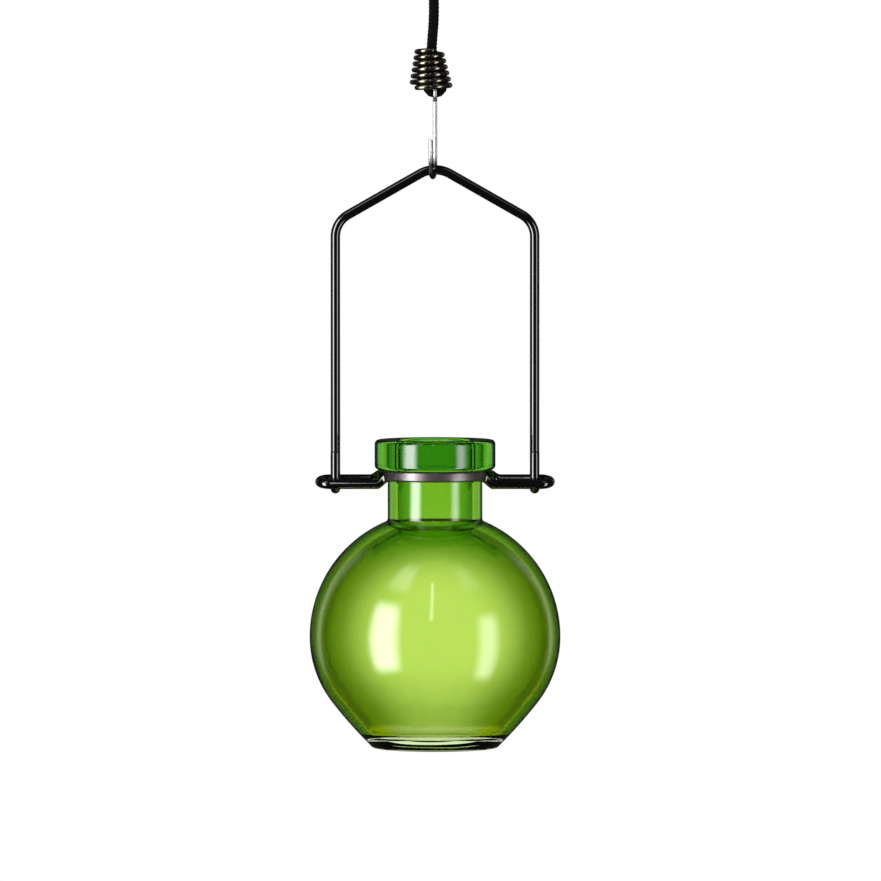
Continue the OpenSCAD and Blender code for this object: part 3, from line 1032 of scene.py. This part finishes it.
def glass_outline(glass):
    """Outline of the glass from the middle of the base to the middle of the floor inside."""
    curve = (glass.punt_radius**2 + glass.punt_height**2) / (2 * glass.punt_height)
    punt_end = math.degrees(math.acos(glass.punt_radius / curve))
    punt = flat_arc(Vector((0, glass.punt_height - curve)), curve, 90, punt_end)
    outside = ball_face(glass, 0, 0, glass.foot_round, glass.neck_radius, glass.shoulder_round)
    inside = ball_face(
        glass, glass.wall, glass.floor, glass.floor_round, glass.mouth_radius, glass.throat_round
    )
    low = glass.seat_height + glass.rim_round
    top = glass.seat_height + glass.rim_height - glass.rim_round
    edge = glass.rim_radius - glass.rim_round
    mouth = glass.mouth_radius + glass.rim_round
    rim = [Vector((glass.neck_radius, glass.seat_height))]
    for r, z, start in ((edge, low, -90), (edge, top, 0), (mouth, top, 90)):
        rim += flat_arc(Vector((r, z)), glass.rim_round, start, start + 90)
    outline = punt + outside + rim + inside[::-1] + [Vector((0, glass.floor))]
    apart = [outline[0]]
    for point in outline[1:]:
        run = point - apart[-1]
        if run.length > LONG_RUN:
            support = SUPPORT / run.length
            start = apart[-1]
            apart += [start + run * support, start + run * (1 - support)]
        if run.length > SAME_POINT:
            apart.append(point)
    return apart


def lathe(name, outline, base, sides, material):
    """Turns an outline whose two ends lie on the axis."""
    points = [Vector((0, 0, outline[0].y)), Vector((0, 0, outline[-1].y))]
    for point in outline[1:-1]:
        points += [
            Vector((point.x * math.cos(a), point.x * math.sin(a), point.y))
            for a in (2 * math.pi * k / sides for k in range(sides))
        ]
    rows = range(2, len(points), sides)
    faces = []
    for k in range(sides):
        m = (k + 1) % sides
        faces += [(0, rows[0] + m, rows[0] + k), (1, rows[-1] + k, rows[-1] + m)]
    for first, second in zip(rows, rows[1:]):
        faces += band(first, second, sides)
    return smooth_mesh(name, [base + point for point in points], faces, material)


class VASE_OT_glass(Operator):
    """Makes the hollow glass ball with its neck, thick rim and hollowed base"""

    bl_idname = "ball_vase.glass"
    bl_label = "Glass"

    def execute(self, context):
        glass = context.scene.ball_vase.glass
        base = Vector((EAR.x, EAR.y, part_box("glass_vase")[0].z))
        piece = lathe("glass_ball", glass_outline(glass), base, glass.sides, glass_finish(glass))
        settle(piece, "vase", "green_glass", "glass_vase")
        return {"FINISHED"}


# Stage


# Softboxes that show in what is glossy, in degrees: place round the object from the front to the
# right, level, width, height and softness of the edges; then the strength
SOFTBOXES = (
    (-49, -1, 24, 58, 14, 15),
    (51, -10, 17, 56, 13, 7.5),
    (-46, 55, 28, 24, 12, 3),
    (46, 55, 24, 22, 12, 1.2),
    (-3, 36, 3, 36, 4, 6),
    (-135, 10, 12, 50, 14, 0.6),
    (135, 10, 12, 50, 14, 0.6),
)
# Place of the right-hand soft lamp, and the width and height of both lamps
LAMP_PLACE = (1.3, -0.75, -0.1)
LAMP_SIZE = (0.35, 1.3)


def window(graph, angle, middle, width, soft):
    """1 where an angle lies within a width about a middle, with soft edges, given in degrees."""
    off = graph.math("ABSOLUTE", angle - math.radians(middle))
    return graph.step(off, math.radians(width + soft) / 2, math.radians(width - soft) / 2)


def add_world(surround):
    """White light from all sides; gloss shows a dim room with softboxes in its place."""
    world = bpy.data.worlds.new("studio")
    world.use_nodes = True
    world.cycles.sampling_method = "NONE"
    bpy.context.scene.world = world
    graph = Graph(world.node_tree)
    glossy = graph.value("ShaderNodeLightPath", output="Is Glossy Ray")
    through = graph.value("ShaderNodeLightPath", output="Is Transmission Ray")
    across, depth, up = graph.split(graph.value("ShaderNodeTexCoord", output="Generated"))
    azimuth = graph.math("ARCTAN2", across, depth * -1)
    rise = graph.math("ARCSINE", up)
    room = surround
    for middle, level, width, height, soft, strength in SOFTBOXES:
        box = window(graph, azimuth, middle, width, soft) * window(graph, rise, level, height, soft)
        room = box * strength + room
    mirrored = glossy * (1 - through)
    background = world.node_tree.nodes["Background"]
    graph.put(background.inputs["Color"], (1, 1, 1, 1))
    graph.put(background.inputs["Strength"], (room - 1) * mirrored + 1)


def add_lamp(name, side, aim, power):
    """Large soft lamp on one side that faces a point."""
    data = bpy.data.lights.new(name, "AREA")
    data.shape = "RECTANGLE"
    data.size, data.size_y = LAMP_SIZE
    data.energy = power
    place = Vector((side * LAMP_PLACE[0], *LAMP_PLACE[1:]))
    lamp = shown(name, data)
    lamp.location = place
    lamp.rotation_euler = (aim - place).to_track_quat("-Z", "Y").to_euler()
    lamp.visible_camera = False
    lamp.visible_glossy = False
    lamp.visible_transmission = False


def add_floor(stage):
    """Wide pale floor, far below the hanging object."""
    mesh = bpy.data.meshes.new("floor")
    half = stage.floor_half
    ways = ((-1, -1), (1, -1), (1, 1), (-1, 1))
    corners = [(x * half, y * half, stage.floor_level) for x, y in ways]
    mesh.from_pydata(corners, [], [(0, 1, 2, 3)])
    made = Finish("pale floor", Roughness=0.9, Specular_IOR_Level=0.1)
    made.drive("Base Color", made.drift(stage.floor_tint, stage.floor_drift, scale=3))
    mesh.materials.append(made.material)
    floor = shown("floor", mesh)
    floor.visible_glossy = False


class VASE_OT_camera(Operator):
    """Makes the camera at the photograph's viewing angle"""

    bl_idname = "ball_vase.camera"
    bl_label = "Camera"

    def execute(self, context):
        stage = context.scene.ball_vase.stage
        data = bpy.data.cameras.new("camera")
        data.lens = data.sensor_width * stage.distance / stage.view_width
        camera = shown("camera", data)
        back = Vector((0, -math.cos(stage.elevation), math.sin(stage.elevation)))
        camera.location = Vector((stage.aim_x, 0, stage.aim_z)) + back * stage.distance
        camera.rotation_euler = (math.pi / 2 - stage.elevation, 0, 0)
        bpy.context.scene.camera = camera
        return {"FINISHED"}


class VASE_OT_stage(Operator):
    """Makes the floor and the lights"""

    bl_idname = "ball_vase.stage"
    bl_label = "Stage"

    def execute(self, context):
        stage = context.scene.ball_vase.stage
        add_floor(stage)
        add_world(stage.surround)
        middle = Vector((0, 0, stage.aim_z))
        add_lamp("left_softbox", -1, middle, stage.lamp_power)
        add_lamp("right_softbox", 1, middle, stage.lamp_power)
        context.scene.view_settings.view_transform = "Standard"
        return {"FINISHED"}


class VASE_PT_panel(Panel):
    """Lists the steps that build the vase."""

    bl_idname = "VASE_PT_panel"
    bl_label = "Ball vase"
    bl_space_type = "VIEW_3D"
    bl_region_type = "UI"
    bl_category = "Ball vase"

    def draw(self, context):
        for step in STEPS:
            self.layout.operator(step.bl_idname)


STEPS = (
    VASE_OT_camera, VASE_OT_cord, VASE_OT_sleeve, VASE_OT_hook,
    VASE_OT_bail, VASE_OT_ring, VASE_OT_glass, VASE_OT_stage,
)
CLASSES = (
    CordSettings, SleeveSettings, HookSettings, BailSettings, RingSettings, GlassSettings,
    StageSettings, VaseSettings, *STEPS, VASE_PT_panel,
)


def register():
    for kind in CLASSES:
        bpy.utils.register_class(kind)
    bpy.types.Scene.ball_vase = PointerProperty(type=VaseSettings)


def unregister():
    del bpy.types.Scene.ball_vase
    for kind in reversed(CLASSES):
        bpy.utils.unregister_class(kind)


def main():
    """Builds the vase."""
    register()
    for step in STEPS:
        group, name = step.bl_idname.split(".")
        getattr(getattr(bpy.ops, group), name)()


if __name__ == "__main__":
    main()
